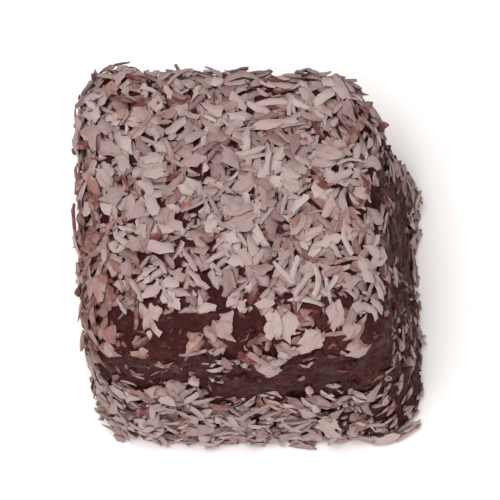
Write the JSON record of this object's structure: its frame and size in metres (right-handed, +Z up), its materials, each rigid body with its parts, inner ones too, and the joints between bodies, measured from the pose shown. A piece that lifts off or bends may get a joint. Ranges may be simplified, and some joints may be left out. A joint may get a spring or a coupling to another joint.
{
  "type": "lamington cake",
  "caption": "Small block of sponge cake in a thin chocolate coat rolled in desiccated coconut, standing on its flat base.",
  "frame": {"origin": "middle of the cake's outline seen from above, at the height of its flat base", "axes": "+Z up, -Y towards the front, +X to the right as seen from the front"},
  "size_m": [0.0464, 0.0432, 0.0367],
  "materials": {
    "chocolate_coat": "thin dark chocolate coat soaked into sponge, matt with moist patches, under desiccated coconut",
    "coconut": "dry desiccated coconut, off-white with some pieces stained brown by the coat"
  },
  "bodies": {
    "root": {"lamington": "chocolate_coat"}
  },
  "joints": []
}
